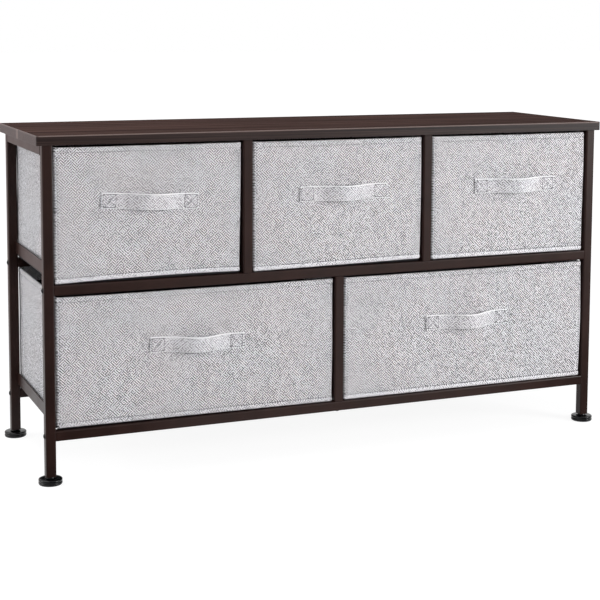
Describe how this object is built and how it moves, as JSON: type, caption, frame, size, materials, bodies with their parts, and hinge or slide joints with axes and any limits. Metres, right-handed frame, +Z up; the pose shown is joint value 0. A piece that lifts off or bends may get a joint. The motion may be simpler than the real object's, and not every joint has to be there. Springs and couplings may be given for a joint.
{
  "type": "fabric drawer dresser",
  "caption": "Wide low dresser: wood-grain top on a bolted square-tube metal frame with levelling feet, and pull-out fabric bins with strap handles.",
  "frame": {"origin": "on the floor, under the centre of the whole dresser's outline seen from above", "axes": "+X along the dresser to the right of someone facing it, +Y to the back, +Z up; the drawers open towards -Y"},
  "size_m": [1.003, 0.3244, 0.54],
  "materials": {
    "top_laminate": "espresso wood-grain laminate, satin",
    "edge_band": "wood-grain edge band, satin",
    "frame_steel": "dark bronze powder coat",
    "bolt_steel": "blackened steel",
    "foot_plastic": "moulded, glossy black",
    "plug_plastic": "moulded, matt black",
    "bin_fabric": "heathered light grey tweed-look fabric",
    "strap_fabric": "same fabric, sewn flat with box-and-cross stitching",
    "base_board": "non-woven covered fibreboard"
  },
  "bodies": {
    "frame": {"top_board": "top_laminate", "top_edge_band": "edge_band", "leg_front_left": "frame_steel", "leg_front_right": "frame_steel", "leg_rear_left": "frame_steel", "leg_rear_right": "frame_steel", "side_rung_top_left": "frame_steel", "guide_bar_mid_left": "frame_steel", "guide_bar_low_left": "frame_steel", "side_rung_top_right": "frame_steel", "guide_bar_mid_right": "frame_steel", "guide_bar_low_right": "frame_steel", "bottom_rail_front": "frame_steel", "bottom_rail_rear": "frame_steel", "mid_rail_front": "frame_steel", "mid_rail_rear": "frame_steel", "upper_post_front_left": "frame_steel", "upper_post_front_right": "frame_steel", "upper_post_rear_left": "frame_steel", "upper_post_rear_right": "frame_steel", "lower_post_front": "frame_steel", "lower_post_rear": "frame_steel", "divider_rung_upper_left": "frame_steel", "divider_rung_upper_right": "frame_steel", "divider_rung_lower": "frame_steel", "rail_bolt_bottom_front_left": "bolt_steel", "rail_bolt_bottom_front_right": "bolt_steel", "rail_bolt_bottom_rear_left": "bolt_steel", "rail_bolt_bottom_rear_right": "bolt_steel", "rail_bolt_mid_front_left": "bolt_steel", "rail_bolt_mid_front_right": "bolt_steel", "rail_bolt_mid_rear_left": "bolt_steel", "rail_bolt_mid_rear_right": "bolt_steel", "post_bolt_front": "bolt_steel", "post_bolt_rear": "bolt_steel", "leg_plug_front_left": "plug_plastic", "leg_plug_front_right": "plug_plastic", "leg_plug_rear_left": "plug_plastic", "leg_plug_rear_right": "plug_plastic"},
    "drawer_upper_left": {"drawer_upper_left_bin": "bin_fabric", "drawer_upper_left_base_board": "base_board", "drawer_upper_left_handle": "strap_fabric"},
    "drawer_upper_middle": {"drawer_upper_middle_bin": "bin_fabric", "drawer_upper_middle_base_board": "base_board", "drawer_upper_middle_handle": "strap_fabric"},
    "drawer_upper_right": {"drawer_upper_right_bin": "bin_fabric", "drawer_upper_right_base_board": "base_board", "drawer_upper_right_handle": "strap_fabric"},
    "drawer_lower_left": {"drawer_lower_left_bin": "bin_fabric", "drawer_lower_left_base_board": "base_board", "drawer_lower_left_handle": "strap_fabric"},
    "drawer_lower_right": {"drawer_lower_right_bin": "bin_fabric", "drawer_lower_right_base_board": "base_board", "drawer_lower_right_handle": "strap_fabric"},
    "foot_front_left": {"levelling_foot_front_left": "foot_plastic"},
    "foot_front_right": {"levelling_foot_front_right": "foot_plastic"},
    "foot_rear_left": {"levelling_foot_rear_left": "foot_plastic"},
    "foot_rear_right": {"levelling_foot_rear_right": "foot_plastic"}
  },
  "joints": [
    {"name": "drawer_upper_left_slide", "type": "slide", "parent": "frame", "child": "drawer_upper_left", "axis": [0, -1, 0], "range_m": [0, 0.26]},
    {"name": "drawer_upper_middle_slide", "type": "slide", "parent": "frame", "child": "drawer_upper_middle", "axis": [0, -1, 0], "range_m": [0, 0.26]},
    {"name": "drawer_upper_right_slide", "type": "slide", "parent": "frame", "child": "drawer_upper_right", "axis": [0, -1, 0], "range_m": [0, 0.26]},
    {"name": "drawer_lower_left_slide", "type": "slide", "parent": "frame", "child": "drawer_lower_left", "axis": [0, -1, 0], "range_m": [0, 0.26]},
    {"name": "drawer_lower_right_slide", "type": "slide", "parent": "frame", "child": "drawer_lower_right", "axis": [0, -1, 0], "range_m": [0, 0.26]},
    {"name": "foot_front_left_level", "type": "slide", "parent": "frame", "child": "foot_front_left", "axis": [0, 0, -1], "range_m": [0, 0.01]},
    {"name": "foot_front_right_level", "type": "slide", "parent": "frame", "child": "foot_front_right", "axis": [0, 0, -1], "range_m": [0, 0.01]},
    {"name": "foot_rear_left_level", "type": "slide", "parent": "frame", "child": "foot_rear_left", "axis": [0, 0, -1], "range_m": [0, 0.01]},
    {"name": "foot_rear_right_level", "type": "slide", "parent": "frame", "child": "foot_rear_right", "axis": [0, 0, -1], "range_m": [0, 0.01]}
  ]
}
